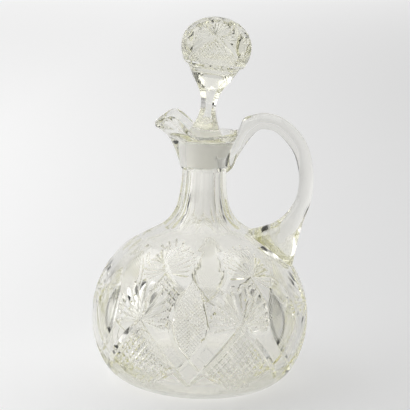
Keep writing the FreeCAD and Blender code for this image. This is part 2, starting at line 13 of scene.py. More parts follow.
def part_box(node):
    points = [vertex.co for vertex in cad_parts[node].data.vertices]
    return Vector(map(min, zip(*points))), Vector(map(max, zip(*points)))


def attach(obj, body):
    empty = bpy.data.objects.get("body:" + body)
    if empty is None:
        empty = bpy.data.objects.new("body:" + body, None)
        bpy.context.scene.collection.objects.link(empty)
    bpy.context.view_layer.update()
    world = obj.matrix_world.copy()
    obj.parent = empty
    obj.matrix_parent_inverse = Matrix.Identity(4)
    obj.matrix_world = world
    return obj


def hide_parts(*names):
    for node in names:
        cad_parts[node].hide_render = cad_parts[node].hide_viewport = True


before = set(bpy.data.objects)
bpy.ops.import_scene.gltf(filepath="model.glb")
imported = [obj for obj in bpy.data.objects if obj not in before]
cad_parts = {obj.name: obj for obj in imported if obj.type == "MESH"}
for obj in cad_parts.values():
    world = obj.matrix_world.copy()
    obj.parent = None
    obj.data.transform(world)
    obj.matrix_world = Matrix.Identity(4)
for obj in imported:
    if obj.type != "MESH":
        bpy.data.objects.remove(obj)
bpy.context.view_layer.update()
jug_low, jug_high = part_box("jug")

# ---------------------------------------------------------------- sizes of the plain glass

# the turned outside: tangent arcs from the foot over the belly and shoulder up to the neck
BELLY_RADIUS = 77.0
MM = (jug_high[1] - jug_low[1]) / 2 / BELLY_RADIUS
BELLY_HEIGHT = 46.0
BELLY_ARC = 67.6
FOOT_ARC = 28.0
SHOULDER_TURN = math.radians(61.66)
THROAT_ARC = 27.0
NECK_ARC = 100.0
NECK_RADIUS = 16.4
BEND_HEIGHT = 149.5
NECK_HEIGHT = 150.0

# the turned inside
BELLY_WALL = 6.0
BOTTOM_WALL = 9.0
CAVITY_FOOT_ARC = 24.0
CAVITY_THROAT_ARC = 22.0
BORE_RADIUS = 9.0

# the mouth and its pouring lip
RIM_RADIUS = 22.6
RIM_HEIGHT = 178.4
RIM_WALL = 3.6
LIP_REACH = 36.5
LIP_HEIGHT = 184.5
CREST_HEIGHT = 192.0
CREST_REACH = 24.0
LIP_SPREAD = 38.0
LIP_TAPER = 0.15
LIP_ROLL = 2.5
LIP_EVEN = 0.45         # share of the lip's reach that grows evenly from the neck
LIP_FLICK = 9           # power by which the rest comes at the top
MOUTH_BEND = 1.8

# the ground seat, and the stopper that leans in it
PLUG_TOP = 175.5
PLUG_LENGTH = 20.7
PLUG_BOTTOM_RADIUS = 9.3
PLUG_TOP_RADIUS = 13.8
PLUG_CHAMFER = 0.5
PLUG_FOOT = PLUG_TOP - PLUG_LENGTH
SEAT_TOP = PLUG_TOP - 1
SEAT_CLEARANCE = 0.15
SEAT_RIM_DROP = 0.4     # height of the slope from the mouth into the seat
SEAT_FOOT_DROP = 0.3    # height of the slope from the seat into the bore
LEAN = math.radians(5.3)
LEAN_HEIGHT = 187.0

# the handle
HANDLE_REACH = 71.4
HANDLE_HEIGHT = 189.0
HANDLE_THICK = 11.0
PAD_WIDTH = 24.0

# where the handle's upper end stops in the neck's wall: a radius that grows towards the rim
HANDLE_ROOT_DEPTH = 3.2
HANDLE_ROOT_FLARE = 0.22
HANDLE_ROOT_LEAST, HANDLE_ROOT_MOST = 12.7, 20

# the stopper's stem and the knob
STEM_RADIUS = 6.5
STEM_HEIGHT = 197.6
STEM_SIDES = 6
STEM_CUT = 0.35
STEM_WHEEL = 28.0
FLARE_ANGLE = math.radians(31.5)
FLARE_ARC = 20.0
FLARE_RISE = 2.0
BELT_RADIUS = 18.4
BELT_HEIGHT = 226.0
BELT_STEP = 2.6
KNOB_RADIUS = 24.4
KNOB_MIDDLE = 240.0
KNOB_UNDER = 4.0        # how far the knob's lower half, if it went on, would reach below its belt
STOPPER_TOP = 260.0

# ---------------------------------------------------------------- sizes of the cuts

WHEEL_ANGLE = math.radians(52)
GROOVE_LIFT = 0.5       # how far a groove's tool stands out of the glass
RAY_LIFT = 0.15
RUN_OUT = 1.6
END_SHARE = 0.15        # share of its depth that a fine groove has at its very end
TIP = 0.0004            # least width of a ray's tip, as a share and squared

# the neck's flat panels
FLUTES = 9
FLUTE_TURN = 12.5
FLUTE_DEPTH = 0.35
FLUTE_TOP = 153.0
FLUTE_LIFT = 104.0
FLUTE_END = 93.0
FLUTE_TOOL_RISE = 25.0  # how far the tool goes on over FLUTE_TOP, outside the glass
FLUTE_TOOL_HALF = 1.2   # half the tool's width, in neck radii

# the body's pointed ovals
MOTIF_STEP = 55.0
LENS_MIDDLE = 62.0
LENS_HALF_HEIGHT = 26.0
LENS_HALF_WIDTH = 9.5
LENS_TOP = LENS_MIDDLE + LENS_HALF_HEIGHT
LENS_TAIL = 12.0
LENS_DEPTH = 1.9
LENS_SLANT = math.radians(45)
LENS_PITCH = 1.85
LENS_HATCH_DEPTH = 0.72
LENS_MARGIN = 0.6
LENS_LEAST_DEPTH = 0.05
LENS_TAIL_SHARE = 0.6   # share of its depth that an oval's border keeps below the diamonds' top

# the body's stars, and the mitres that run down from them
STAR_HEIGHT = 60.0
STAR_RAYS = 14
RAY_SETS = 5
RAY_FIRST = -12.0
RAY_LAST = 192.0
RAY_SIDE_REACH = 20.5
RAY_TOP_REACH = 29.0
RAY_START = 0.8
RAY_TAIL = 0.4          # last share of a ray, in which it rounds off to its tip
RAY_RISE = 1.5
MITRE_DEPTH = 2.1
MITRE_LEAST_DEPTH = 0.3
MITRE_RUN_IN = 0.06

# the fields of diamonds under the stars
DIAMOND_TOP = 34.0
DIAMOND_BOTTOM = 16.0
FIELD_BOTTOM = 11.5
FIELD_SLANT = math.radians(50)
FIELD_PITCH = 4.8
FIELD_DEPTH = 1.2
FIELD_FINE_PITCH = 2.4
FIELD_FINE_DEPTH = 0.55
FIELD_MARGIN = 1.6
FIELD_TOP_SHARE = 0.1
HATCH_REACH = 52.0
HATCH_STEP = 1.3

# the knob's cuts: KNOB_STAR_RISE and the depths in mm, and how far things reach, drop and lie apart
# in degrees seen from the knob's middle
KNOB_MOTIFS = 4
KNOB_STAR_RISE = 9.5
KNOB_RAYS = 17
KNOB_RAY_SETS = 6
KNOB_MITRE_REACH = 47.0
KNOB_MITRE_DROP = 34.5
KNOB_MITRE_BOW = 0.45
KNOB_MITRE_DEPTH = 1.9
KNOB_MITRE_LEAST_DEPTH = 0.25
KNOB_MITRE_SWELL = 0.7
KNOB_RAY_REACH = 36.0
KNOB_RAY_FIRST = -8.0
KNOB_RAY_LAST = 188.0
KNOB_RAY_START = 2.0
KNOB_RAY_TAIL = 0.45
KNOB_PITCH = 4.6
KNOB_FIELD_LINES = 16
KNOB_FIELD_REACH = 70.0
KNOB_FIELD_STEP = 1.5
KNOB_FIELD_MIDDLE = 25.0
KNOB_FIELD_DROP = 52.0
KNOB_FIELD_MARGIN = 4.0
KNOB_FIELD_SHARE = 0.93
KNOB_FIELD_DEPTH = 0.75
KNOB_RUN_OUT = 3

# ---------------------------------------------------------------- looks

GLASS_COLOUR = (1, 0.995, 0.975, 1)
GLASS_IOR = 1.54
GLASS_TINT = (0.925, 0.92, 0.755, 1)
GLASS_TINT_DENSITY = 10.0
GLASS_SHADOW = (0.82, 0.82, 0.81, 1)
GLASS_FLOW_SCALE = 38.0
GLASS_WAVE = 0.04
GROUND_GRAIN_SCALE = 2600.0
GROUND_GRAIN_HEIGHT = 0.04
GROUND_SMOOTHEST = 0.28
GROUND_ROUGHEST = 0.5
GROUND_CLEARNESS = 0.55

# the glass is ground up to GROUND_DROP under the plug's top, and clear from the fades up; the jug's
# seat is what lies less than SEAT_SHELL outside the plug's top
GROUND_DROP = 1.5
SEAT_FADE, PLUG_FADE = 0.5, 0.7
SEAT_SHELL, SEAT_SHELL_FADE = 1.4, 0.3

# white paper, in the frame's unit: its colour from left to right, darkened to the right by painted
# shade, and the painted light it glows with for rays from the camera, from reflections and through
# the glass
PAPER_LIT_LEFT, PAPER_SHADED_RIGHT, PAPER_SPAN = 0.92, 0.74, 0.35
PAPER_GLOW, PAPER_FAR = 0.5, 3.0
PAPER_NEAR = 0.1
PAPER_LIGHT_POOL, PAPER_LIGHT_POOL_FROM, PAPER_LIGHT_POOL_TO = 0.02, 0.06, 0.14
PAPER_SEEN_LEFT, PAPER_SEEN_RIGHT = 0.11, 0.03
PAPER_FIBRE_SCALE = 420.0
PAPER_FIBRE_HEIGHT = 0.0002
FLOOR_HALF = 5.0

# the room round the object, dark in front, pale behind and dark at its sides
ROOM_DARK, ROOM_PALE, ROOM_SEEN = 0.01, 0.72, 0.8
ROOM_FRONT, ROOM_BACK = -0.1, 0.4
ROOM_SIDE, ROOM_SIDE_BLUR = 0.86, 0.2

# where both lamps point, and how often a ray may bounce
LIGHT_TARGET = (0, 0, 0.1)
RAY_LIMIT = 40

# the meshes: points round each turned ring, the least radius of a ring, the distance between rings
# along the outlines, and the angle above which an edge is sharp
SEGMENTS = 192
AXIS_RADIUS = 0.01
OUTSIDE_STEP, INSIDE_STEP = 2.4, 3.4
SHARP_ANGLE = math.radians(24)


# ---------------------------------------------------------------- outlines of the turned glass

def outline_corners(belly_radius, belly_arc, foot_arc, floor, throat_arc, neck):
    """Centres and joints of the tangent arcs of a turned outline, as (radius, height)."""
    belly = Vector((belly_radius - belly_arc, BELLY_HEIGHT))
    drop = BELLY_HEIGHT - floor - foot_arc
    foot = Vector((belly.x + math.sqrt((belly_arc - foot_arc) ** 2 - drop ** 2), floor + foot_arc))
    foot_out = (foot - belly).normalized()
    out = Vector((math.cos(SHOULDER_TURN), math.sin(SHOULDER_TURN)))
    along = Vector((-out.y, out.x))
    shoulder_joint = belly + out * belly_arc
    bend = Vector((neck + NECK_ARC, BEND_HEIGHT))
    gap = NECK_ARC - throat_arc
    start = shoulder_joint + out * throat_arc - bend
    half = start.dot(along)
    root = math.sqrt(half ** 2 - start.dot(start) + gap ** 2)
    slope = root - half if root > -half else -half - root
    throat = shoulder_joint + along * slope + out * throat_arc
    return {
        "foot": foot,
        "foot_joint": foot + foot_out * foot_arc,
        "belly": belly,
        "shoulder_joint": shoulder_joint,
        "slope_joint": throat - out * throat_arc,
        "throat": throat,
        "throat_joint": bend + (throat - bend) * (NECK_ARC / gap),
        "bend": bend,
    }


def arc_points(centre, first, last, step):
    """Points about a centre from one point to another, about a step apart, without the last."""
    radius = (first - centre).length
    start = math.atan2(first.y - centre.y, first.x - centre.x)
    turn = math.atan2(last.y - centre.y, last.x - centre.x) - start
    turn = (turn + math.pi) % (2 * math.pi) - math.pi
    count = max(2, round(abs(turn) * radius / step))
    angles = [start + turn * number / count for number in range(count)]
    return [centre + radius * Vector((math.cos(angle), math.sin(angle))) for angle in angles]


def turned_outline(belly_radius, belly_arc, foot_arc, floor, throat_arc, neck, step):
    """The outline from the middle of the floor up to the neck."""
    at = outline_corners(belly_radius, belly_arc, foot_arc, floor, throat_arc, neck)
    points = [Vector((share * at["foot"].x, floor)) for share in (0, 0.25, 0.5, 0.75)]
    points += arc_points(at["foot"], Vector((at["foot"].x, floor)), at["foot_joint"], step)
    points += arc_points(at["belly"], at["foot_joint"], at["shoulder_joint"], step)
    points += [at["shoulder_joint"].lerp(at["slope_joint"], share) for share in (0, 0.5)]
    points += arc_points(at["throat"], at["slope_joint"], at["throat_joint"], step / 2)
    points += arc_points(at["bend"], at["throat_joint"], Vector((neck, BEND_HEIGHT)), step)
    return points


OUTSIDE = turned_outline(BELLY_RADIUS, BELLY_ARC, FOOT_ARC, 0.0, THROAT_ARC, NECK_RADIUS,
                         OUTSIDE_STEP)
INSIDE = turned_outline(BELLY_RADIUS - BELLY_WALL, BELLY_ARC - BELLY_WALL, CAVITY_FOOT_ARC,
                        BOTTOM_WALL, CAVITY_THROAT_ARC, BORE_RADIUS, INSIDE_STEP)
CORNERS = outline_corners(BELLY_RADIUS, BELLY_ARC, FOOT_ARC, 0.0, THROAT_ARC, NECK_RADIUS)


# ---------------------------------------------------------------- meshes

TURNS = np.arange(SEGMENTS) * 2 * math.pi / SEGMENTS


def around(angle, radius, height):
    """Points about the axis; the angle runs from the front, -Y, towards +X, in radians."""
    parts = np.broadcast_arrays(radius * np.sin(angle), -radius * np.cos(angle), height)
    return np.stack(parts, axis=-1)


def blend(value, low, high):
    """A smooth rise from 0 at low to 1 at high."""
    share = np.clip((value - low) / (high - low), 0, 1)
    return share * share * (3 - 2 * share)


def tube_faces(rings, points, first=0):
    """The faces between rings of points, each ring closed on itself."""
    faces = []
    for ring in range(rings - 1):
        for point in range(points):
            after = (point + 1) % points
            low, high = first + ring * points, first + (ring + 1) * points
            faces.append((low + point, low + after, high + after, high + point))
    return faces


def closed_mesh(rings):
    """Points and faces of a closed surface through rings, with a point in each end's middle."""
    rings = np.asarray(rings, dtype=float)
    count, size = rings.shape[:2]
    points = np.vstack([rings.reshape(-1, 3), rings[0].mean(axis=0), rings[-1].mean(axis=0)])
    faces = tube_faces(count, size)
    last = (count - 1) * size
    for point in range(size):
        after = (point + 1) % size
        faces.append((after, point, count * size))
        faces.append((last + point, last + after, count * size + 1))
    return points, faces


def make_object(name, *meshes):
    """One object of several closed meshes, with every face turned outwards."""
    points = np.vstack([mesh[0] for mesh in meshes]) * MM
    faces = []
    first = 0
    for mesh_points, mesh_faces in meshes:
        faces += [tuple(first + index for index in face) for face in mesh_faces]
        first += len(mesh_points)
    mesh = bpy.data.meshes.new(name)
    mesh.from_pydata(points.tolist(), [], faces)
    form = bmesh.new()
    form.from_mesh(mesh)
    bmesh.ops.recalc_face_normals(form, faces=form.faces)
    form.to_mesh(mesh)
    form.free()
    piece = bpy.data.objects.new(name, mesh)
    bpy.context.scene.collection.objects.link(piece)
    return piece


def combine(piece, tools, operation="DIFFERENCE"):
    """Cuts each tool out of a piece, or joins it on, and removes the tools."""
    for tool in tools:
        step = piece.modifiers.new(tool.name, "BOOLEAN")
        step.operation = operation
        step.solver = "MANIFOLD"
        step.object = tool
    graph = bpy.context.evaluated_depsgraph_get()
    result = bpy.data.meshes.new_from_object(piece.evaluated_get(graph))
    piece.modifiers.clear()
    piece.data = result
    for tool in tools:
        bpy.data.objects.remove(tool)


def between(rows, steps):
    """Rows of numbers with smooth rows added between them (Catmull-Rom)."""
    rows = np.asarray(rows, dtype=float)
    full = []
    for number in range(len(rows) - 1):
        before = rows[max(number - 1, 0)]
        first, second = rows[number], rows[number + 1]
        after = rows[min(number + 2, len(rows) - 1)]
        for step in range(steps):
            share = step / steps
            full.append(0.5 * (2 * first + (second - before) * share
                               + (2 * before - 5 * first + 4 * second - after) * share ** 2
                               + (3 * first - before - 3 * second + after) * share ** 3))
    full.append(rows[-1])
    return np.array(full)


# ---------------------------------------------------------------- the mouth and its pouring lip

def from_lip(angle):
    """The angle from -X, without its sign, in degrees."""
    return np.abs((np.degrees(angle) + 90 + 180) % 360 - 180)


def mouth_radius(height):
    """Outside radius of the round part of the mouth."""
    share = np.clip((height - NECK_HEIGHT) / (RIM_HEIGHT - NECK_HEIGHT), 0, 1)
    above = np.maximum(height - RIM_HEIGHT, 0)
    return NECK_RADIUS + (RIM_RADIUS - NECK_RADIUS) * share ** MOUTH_BEND + LIP_TAPER * above


def mouth_outside(angle, height):
    """Outside radius of the mouth, drawn out to the lip about -X."""
    share = np.clip((height - NECK_HEIGHT) / (LIP_HEIGHT - LIP_ROLL - NECK_HEIGHT), 0, 1)
    growth = LIP_EVEN * share + (1 - LIP_EVEN) * share ** LIP_FLICK
    drawn = (LIP_REACH - mouth_radius(LIP_HEIGHT)) * growth
    return mouth_radius(height) + drawn * np.exp(-(from_lip(angle) / LIP_SPREAD) ** 2)


def mouth_inside(angle, height):
    """Radius of the open channel of the mouth, from the top of the ground seat up."""
    seat = PLUG_TOP_RADIUS + SEAT_CLEARANCE
    rim = RIM_RADIUS - RIM_WALL
    centre = seat + (rim - seat) * blend(height, SEAT_TOP, RIM_HEIGHT + LIP_ROLL)
    drawn = (LIP_REACH - RIM_WALL - rim) * blend(height, SEAT_TOP, CREST_HEIGHT)
    return centre + drawn * np.exp(-(from_lip(angle) / LIP_SPREAD) ** 2)


def rim_curve(x):
    """Height of the rim: low at the sides, up to the crests and down to the tip of the lip."""
    rise = CREST_HEIGHT - RIM_HEIGHT
    knots = np.array((
        (-LIP_REACH - 4, LIP_HEIGHT - 3.5),                 # past the tip of the lip
        (-LIP_REACH, LIP_HEIGHT),
        (-(LIP_REACH + CREST_REACH) / 2, (LIP_HEIGHT + CREST_HEIGHT) / 2 + 1.2),
        (-CREST_REACH, CREST_HEIGHT),
        (-CREST_REACH * 2 / 3, RIM_HEIGHT + 0.6 * rise),
        (-CREST_REACH / 3, RIM_HEIGHT + 0.12 * rise),
        (0, RIM_HEIGHT),
        (RIM_RADIUS, RIM_HEIGHT + 2),
        (RIM_RADIUS + 12, RIM_HEIGHT + 2.5),                # past the handle's side
    ))
    smooth = between(knots, 12)
    return np.interp(x, smooth[:, 0], smooth[:, 1])


def rim_height(angle):
    """Height of the rim's top in each direction."""
    height = np.full_like(angle, RIM_HEIGHT)
    for _ in range(30):
        middle = mouth_outside(angle, height) - RIM_WALL / 2
        height = 0.5 * (height + rim_curve(middle * np.sin(angle)))
    return height


def seat_radius(height):
    """Radius of the bore and the ground seat, whose axis leans as the stopper's does."""
    shift = (height - LEAN_HEIGHT) * math.tan(LEAN)
    along = (height - PLUG_TOP) / math.cos(LEAN) + PLUG_LENGTH
    taper = (PLUG_TOP_RADIUS - PLUG_BOTTOM_RADIUS) / PLUG_LENGTH
    radius = PLUG_BOTTOM_RADIUS + SEAT_CLEARANCE + taper * along
    east = shift * np.sin(TURNS)
    return np.maximum(BORE_RADIUS, east + np.sqrt(radius ** 2 - (shift * np.cos(TURNS)) ** 2))


def jug_blank():
    """The uncut jug: up the outside, over the rim, down the seat and bore, round the cavity."""
    top = rim_height(TURNS)
    bead = RIM_WALL / 2
    rings = [around(TURNS, max(point.x, AXIS_RADIUS), point.y) for point in OUTSIDE]
    for share in 1 - np.linspace(1, 0, 40) ** 2:
        height = NECK_HEIGHT + (top - bead - NECK_HEIGHT) * share
        rings.append(around(TURNS, mouth_outside(TURNS, height), height))
    outer = mouth_outside(TURNS, top - bead)
    inner = mouth_inside(TURNS, top - bead)
    for turn in np.linspace(0, math.pi, 10)[1:-1]:
        radius = (outer + inner) / 2 + (outer - inner) / 2 * math.cos(turn)
        rings.append(around(TURNS, radius, top - bead + bead * math.sin(turn)))
    for share in np.linspace(1, 0, 14):
        height = SEAT_TOP + (top - bead - SEAT_TOP) * share
        rings.append(around(TURNS, mouth_inside(TURNS, height), height))
    for height in np.linspace(SEAT_TOP - SEAT_RIM_DROP, PLUG_FOOT, 10):
        rings.append(around(TURNS, seat_radius(height), height))
    rings.append(around(TURNS, BORE_RADIUS, PLUG_FOOT - SEAT_FOOT_DROP))
    rings += [around(TURNS, max(point.x, AXIS_RADIUS), point.y) for point in reversed(INSIDE)]
    return make_object("jug_glass", closed_mesh(rings))


# ---------------------------------------------------------------- the handle

def wall_depth(points):
    """How far each point lies under the shoulder's outside, and the way out, in the half plane."""
    at = CORNERS
    flat = np.stack([np.hypot(points[:, 0], points[:, 1]), points[:, 2]], axis=1)
    from_belly = flat - np.array(at["belly"])
    reach = np.linalg.norm(from_belly, axis=1)
    slope_out = np.array((at["slope_joint"] - at["throat"]).normalized()) * -1
    under_slope = (np.array(at["shoulder_joint"]) - flat) @ slope_out
    on_belly = flat[:, 1] < at["shoulder_joint"].y
    depth = np.where(on_belly, BELLY_ARC - reach, under_slope)
    out = np.where(on_belly[:, None], from_belly / reach[:, None], slope_out)
    return depth, out


def handle_stations():
    """x, height, direction in degrees from +X, thickness in the plane and width across the rod."""
    thick, reach, top, pad = HANDLE_THICK, HANDLE_REACH, HANDLE_HEIGHT, PAD_WIDTH
    root = NECK_RADIUS - 2
    return (
        (root, top - 24.0, -6, 3.0 * thick, 1.1 * thick),
        (root + 6.0, top - 21.0, -6, 2.55 * thick, 1.12 * thick),
        (root + 8.5, top - 15.4, -2, 2.07 * thick, 1.15 * thick),
        (root + 12.6, top - 8.0, 6, 1.7 * thick, 1.15 * thick),
        (root + 17.7, top - 3.7, 3, 1.36 * thick, 1.12 * thick),
        (root + 22.1, top - 0.9, 1, 1.1 * thick, 1.1 * thick),
        (root + 27.0, top - 0.2, -3, 1.04 * thick, 1.1 * thick),
        (reach - 20.9, top - 2.3, -28, 1.02 * thick, 1.08 * thick),
        (reach - 11.4, top - 9.9, -48, 1.04 * thick, 1.04 * thick),
        (reach - 4.2, top - 20.5, -62, thick, thick),
        (reach - 0.4, top - 35.0, -80, 0.94 * thick, 0.98 * thick),
        (reach - 0.2, top - 46.0, -92, 0.94 * thick, 0.98 * thick),
        (reach - 2.0, top - 56.5, -105, thick, 1.02 * thick),
        (reach - 6.6, top - 67.0, -114, 1.22 * thick, 1.15 * thick),
        (reach - 12.2, top - 77.0, -121, 1.85 * thick, 0.72 * pad),
        (reach - 17.4, top - 84.5, -127, 2.75 * thick, 0.92 * pad),
        (reach - 23.4, top - 92.0, -131, 3.8 * thick, pad),
    )


def handle_form():
    """The drawn handle; both of its ends stop inside the glass of the walls."""
    turns = np.arange(48) * 2 * math.pi / 48
    rings = []
    for x, height, degrees, in_plane, width in between(handle_stations(), 8):
        turn = math.radians(degrees)
        across = np.array((-math.sin(turn), 0, math.cos(turn)))
        ring = (np.array((x, 0, height)) + np.outer(np.cos(turns), across) * in_plane / 2
                + np.outer(np.sin(turns), (0, 1, 0)) * width / 2)
        if height > NECK_HEIGHT:
            rings.append(ring)
            continue
        depth, out = wall_depth(ring)
        sunk = np.maximum(depth - BELLY_WALL / 2, 0)
        bearing = np.arctan2(ring[:, 0], -ring[:, 1])
        rings.append(ring + around(bearing, out[:, 0], out[:, 1]) * sunk[:, None])
        if depth.min() > 1:
            break
    root = rings[0]
    middle = NECK_RADIUS - HANDLE_ROOT_DEPTH + HANDLE_ROOT_FLARE * (root[:, 2] - NECK_HEIGHT)
    middle = np.clip(middle, HANDLE_ROOT_LEAST, HANDLE_ROOT_MOST)
    root[:, 0] = np.sqrt(middle ** 2 - root[:, 1] ** 2)
    return make_object("handle_form", closed_mesh(rings))


# ---------------------------------------------------------------- cuts of the jug

def belly_radius_at(height):
    """Outside radius of the belly at a height."""
    return BELLY_RADIUS - BELLY_ARC + np.sqrt(BELLY_ARC ** 2 - (height - BELLY_HEIGHT) ** 2)


def flute_tool(number):
    """The tool of one flat panel: it runs down the neck and lifts out of the shoulder."""
    at = CORNERS
    facet = math.cos(math.pi / FLUTES)
    curve = arc_points(at["bend"], Vector((NECK_RADIUS, BEND_HEIGHT)), at["throat_joint"], 1.5)
    curve += arc_points(at["throat"], at["throat_joint"], at["slope_joint"], 1.2)
    curve += [at["slope_joint"], at["shoulder_joint"]]
    line = [Vector((NECK_RADIUS * facet - FLUTE_DEPTH, FLUTE_TOP))]
    line += [Vector((point.x * facet - FLUTE_DEPTH, point.y)) for point in curve]
    for share in np.linspace(0, 1, 10):
        height = FLUTE_LIFT + share * (FLUTE_END - FLUTE_LIFT)
        line.append(Vector((belly_radius_at(height) * (facet + (1 - facet) * share)
                            - FLUTE_DEPTH * (1 - share), height)))
    line += [Vector((BELLY_RADIUS, FLUTE_END)), Vector((BELLY_RADIUS, FLUTE_TOP + FLUTE_TOOL_RISE))]
    turn = math.radians(FLUTE_TURN) + 2 * math.pi * number / FLUTES
    out = around(turn, 1.0, 0.0)
    side = around(turn + math.pi / 2, 1.0, 0.0)
    half = FLUTE_TOOL_HALF * NECK_RADIUS
    outline = np.array(line)
    flat = outline[:, :1] * out + outline[:, 1:] * np.array((0, 0, 1))
    count = len(flat)
    points = np.vstack([flat - side * half, flat + side * half])
    faces = tube_faces(2, count)
    faces += [tuple(range(count)), tuple(range(2 * count - 1, count - 1, -1))]
    return points, faces


def groove(points, out, depth, lift=GROOVE_LIFT):
    """The tool of one V groove along a path of points on a surface; out points out of the glass."""
    side = np.cross(np.gradient(points, axis=0), out)
    side /= np.linalg.norm(side, axis=1)[:, None]
    half = side * ((depth + lift) * math.tan(WHEEL_ANGLE))[:, None]
    top = points + out * lift
    return closed_mesh(np.stack([points - out * depth[:, None], top + half, top - half], axis=1))


def on_body(angle, height):
    """Points of the jug's outside below its shoulder, and the way out of the glass there."""
    at = CORNERS
    on_foot = height < at["foot_joint"].y
    middle = np.where(on_foot, at["foot"].x, at["belly"].x)
    level = np.where(on_foot, at["foot"].y, at["belly"].y)
    arc = np.where(on_foot, FOOT_ARC, BELLY_ARC)
    rise = (height - level) / arc
    run = np.sqrt(1 - rise ** 2)
    return around(angle, middle + arc * run, height), around(angle, run, rise)


def body_groove(angle, height, depth):
    """The tool of a V groove on the body along a path of angles and heights."""
    points, out = on_body(angle, height)
    return groove(points, out, depth)


def unroll(angle, height, across, up):
    """Angles and heights of points laid out across and up the body from one place."""
    start = math.asin((height - BELLY_HEIGHT) / BELLY_ARC)
    heights = BELLY_HEIGHT + BELLY_ARC * np.sin(start + up / BELLY_ARC)
    return angle + across / belly_radius_at(heights), heights


def from_ends(count):
    """How many points each point of a path is away from its nearer end."""
    return np.minimum(np.arange(count), np.arange(count)[::-1])


def slanted(along, off, slant):
    """A straight row of points turned by slant and moved off to its side."""
    across = along * math.cos(slant) - off * math.sin(slant)
    up = along * math.sin(slant) + off * math.cos(slant)
    return across, up


def swell(share, rise=0.5):
    """The share of a cut's depth, which runs out at both its ends."""
    return np.sin(math.pi * np.clip(share, 0, 1)) ** rise


def lens_borders(angle, side):
    """One of the two curved grooves that frame a pointed oval and cross below it."""
    share = np.linspace(0, 1, 36)
    height = LENS_TOP - share * (LENS_TOP - LENS_TAIL)
    width = LENS_HALF_WIDTH * (1 - ((height - LENS_MIDDLE) / LENS_HALF_HEIGHT) ** 2)
    depth = LENS_DEPTH * np.where(height > DIAMOND_TOP, 1, LENS_TAIL_SHARE) * swell(share)
    return body_groove(angle + np.radians(side * width), height, LENS_LEAST_DEPTH + depth)


def star_mitre(angle, side):
    """One of the two long grooves from a star down to under the oval beside it."""
    share = np.linspace(0, 1, 30)
    height = STAR_HEIGHT - share * (STAR_HEIGHT - DIAMOND_BOTTOM)
    swelling = swell(MITRE_RUN_IN + (1 - 2 * MITRE_RUN_IN) * share)
    depth = MITRE_LEAST_DEPTH + (MITRE_DEPTH - MITRE_LEAST_DEPTH) * swelling
    return body_groove(angle + side * share * math.radians(MOTIF_STEP / 2), height, depth)


def star_ray(angle, number):
    """One leaf-shaped ray of a star."""
    turn = math.radians(RAY_FIRST + (RAY_LAST - RAY_FIRST) * number / (STAR_RAYS - 1))
    reach = RAY_SIDE_REACH + (RAY_TOP_REACH - RAY_SIDE_REACH) * max(math.sin(turn), 0) ** RAY_RISE
    tail = (1 - RAY_TAIL) * reach
    along = np.concatenate([np.linspace(RAY_START, tail, 6), np.linspace(tail, reach, 12)[1:]])
    half = along * math.tan(math.radians((RAY_LAST - RAY_FIRST) / (STAR_RAYS - 1) / 2))
    past = np.maximum(along - tail, 0) / (RAY_TAIL * reach)
    half *= np.sqrt(np.clip(1 - past ** 2, TIP, 1))
    bearing, height = unroll(angle, STAR_HEIGHT, along * math.cos(turn), along * math.sin(turn))
    points, out = on_body(bearing, height)
    return groove(points, out, half / math.tan(WHEEL_ANGLE), RAY_LIFT)


def inside_lens(across, up):
    """Whether points laid out from a pointed oval's middle lie inside it."""
    bearing, height = unroll(0.0, LENS_MIDDLE, across, up)
    width = math.radians(LENS_HALF_WIDTH) * (1 - ((height - LENS_MIDDLE) / LENS_HALF_HEIGHT) ** 2)
    radius = belly_radius_at(height)
    return np.abs(bearing) * radius < width * radius - LENS_MARGIN


def inside_field(across, up):
    """Whether points laid out from a star's middle lie in the field of diamonds under it."""
    _, height = unroll(0.0, STAR_HEIGHT, across, up)
    half_step = math.radians(MOTIF_STEP / 2)
    share = (STAR_HEIGHT - height) / (STAR_HEIGHT - DIAMOND_BOTTOM)
    tail = math.radians(LENS_HALF_WIDTH) * (1 - ((height - LENS_MIDDLE) / LENS_HALF_HEIGHT) ** 2)
    edge = np.minimum(share * half_step, half_step + tail) * belly_radius_at(height)
    within = np.abs(across) < edge - FIELD_MARGIN
    return within & (height > FIELD_BOTTOM) & (share > FIELD_TOP_SHARE)


def hatch(angle, height, inside, slant, pitch, depth, odd):
    """Every second one of a set of parallel fine grooves, kept to where inside is true."""
    tools = []
    along = np.arange(-HATCH_REACH, HATCH_REACH, HATCH_STEP)
    count = int(HATCH_REACH / pitch)
    for number in range(-count, count + 1):
        if number % 2 != odd:
            continue
        across, up = slanted(along, number * pitch, slant)
        kept = np.flatnonzero(inside(across, up))
        if len(kept) < 3:
            continue
        span = slice(kept[0], kept[-1] + 1)
        bearing, heights = unroll(angle, height, across[span], up[span])
        share = END_SHARE + from_ends(len(bearing)) * HATCH_STEP / RUN_OUT
        tools.append(body_groove(bearing, heights, depth * np.clip(share, 0, 1)))
    return tools


